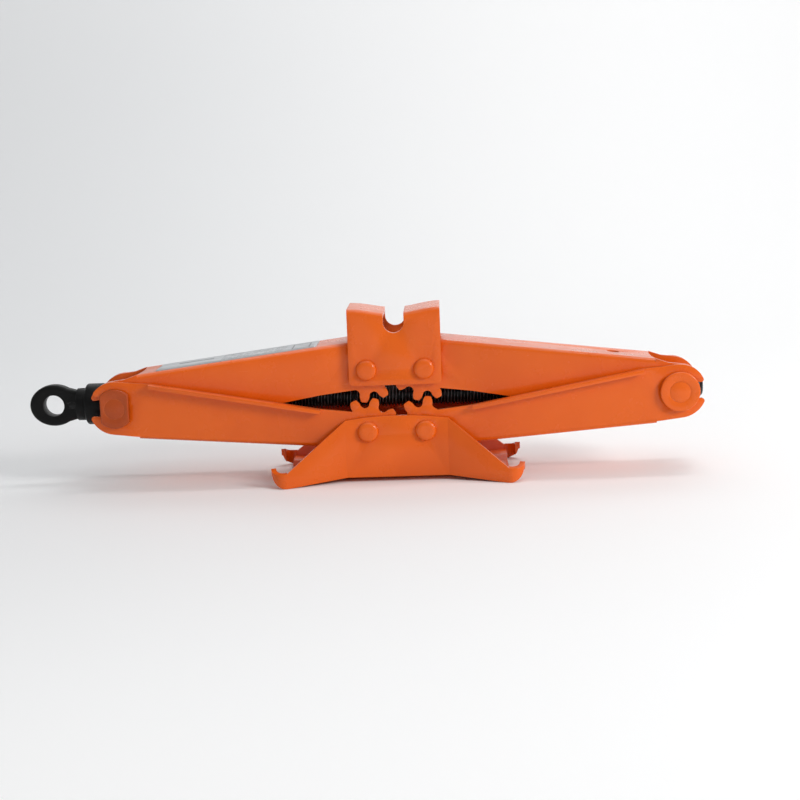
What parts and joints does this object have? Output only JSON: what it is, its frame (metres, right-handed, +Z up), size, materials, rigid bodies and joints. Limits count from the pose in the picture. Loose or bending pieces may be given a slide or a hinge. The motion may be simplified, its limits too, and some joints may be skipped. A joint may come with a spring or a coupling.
{
  "type": "scissor car jack",
  "caption": "Folded scissor jack of pressed orange steel channels with geared ends, a slotted saddle, a flared base and a black lifting screw with a crank eye.",
  "frame": {"origin": "on the floor under the middle of the base's pad", "axes": "+X along the screw towards the nut end, +Y across the jack, +Z up"},
  "size_m": [0.4162, 0.0778, 0.1054],
  "materials": {
    "orange_paint": "glossy powder coat, light orange peel",
    "black_oxide": "satin black oxide",
    "bare_steel": "ground steel",
    "brass_cage": "stamped",
    "label_foil": "satin printed foil"
  },
  "bodies": {
    "base_body": {"base": "orange_paint", "base_pin_left": "orange_paint", "base_pin_right": "orange_paint"},
    "lower_left": {"lower_left_arm": "orange_paint"},
    "lower_right": {"lower_right_arm": "orange_paint"},
    "upper_left": {"upper_left_arm": "orange_paint", "rating_label": "label_foil"},
    "upper_right": {"upper_right_arm": "orange_paint"},
    "saddle_body": {"saddle": "orange_paint", "saddle_pin_left": "orange_paint", "saddle_pin_right": "orange_paint"},
    "drive_end": {"drive_trunnion": "orange_paint", "drive_cap_front": "orange_paint", "drive_cap_rear": "orange_paint", "inner_race": "bare_steel"},
    "nut_end": {"nut_trunnion": "orange_paint", "nut_cap_front": "orange_paint", "nut_cap_rear": "orange_paint"},
    "screw": {"lifting_screw": "black_oxide", "drive_eye": "black_oxide", "eye_pin": "bare_steel", "outer_race": "bare_steel", "thrust_cover": "black_oxide"},
    "bearing": {"bearing_balls": "bare_steel", "ball_cage": "brass_cage"}
  },
  "joints": [
    {"name": "lift", "type": "hinge", "parent": "base_body", "child": "lower_left", "pos_m": [-0.0175, 0, 0.031], "axis": [0, 1, 0], "range_deg": [0, 60]},
    {"name": "lower_right_pivot", "type": "hinge", "parent": "base_body", "child": "lower_right", "pos_m": [0.0175, 0, 0.031], "axis": [0, 1, 0], "range_deg": [-60, 0]},
    {"name": "upper_left_pivot", "type": "hinge", "parent": "lower_left", "child": "upper_left", "pos_m": [-0.17138, 0, 0.04962], "axis": [0, 1, 0], "range_deg": [-120, 0]},
    {"name": "upper_right_pivot", "type": "hinge", "parent": "lower_right", "child": "upper_right", "pos_m": [0.17138, 0, 0.04962], "axis": [0, 1, 0], "range_deg": [0, 120]},
    {"name": "drive_trunnion_pivot", "type": "hinge", "parent": "lower_left", "child": "drive_end", "pos_m": [-0.17138, 0, 0.04962], "axis": [0, 1, 0], "range_deg": [-60, 0]},
    {"name": "nut_trunnion_pivot", "type": "hinge", "parent": "lower_right", "child": "nut_end", "pos_m": [0.17138, 0, 0.04962], "axis": [0, 1, 0], "range_deg": [0, 60]},
    {"name": "saddle_pivot", "type": "hinge", "parent": "upper_left", "child": "saddle_body", "pos_m": [-0.0175, 0, 0.06824], "axis": [0, 1, 0], "range_deg": [0, 60]},
    {"name": "screw_turn", "type": "hinge", "parent": "drive_end", "child": "screw", "pos_m": [-0.17138, 0, 0.04962], "axis": [1, 0, 0], "continuous": true},
    {"name": "bearing_turn", "type": "hinge", "parent": "drive_end", "child": "bearing", "pos_m": [-0.17138, 0, 0.04962], "axis": [1, 0, 0], "continuous": true}
  ],
  "couplings": [
    {"joint": "lower_right_pivot", "follows": "lift", "ratio": -1},
    {"joint": "upper_left_pivot", "follows": "lift", "ratio": -2},
    {"joint": "upper_right_pivot", "follows": "lift", "ratio": 2},
    {"joint": "drive_trunnion_pivot", "follows": "lift", "ratio": -1},
    {"joint": "nut_trunnion_pivot", "follows": "lift", "ratio": 1},
    {"joint": "saddle_pivot", "follows": "lift", "ratio": 1},
    {"joint": "bearing_turn", "follows": "screw_turn", "ratio": 0.5}
  ]
}
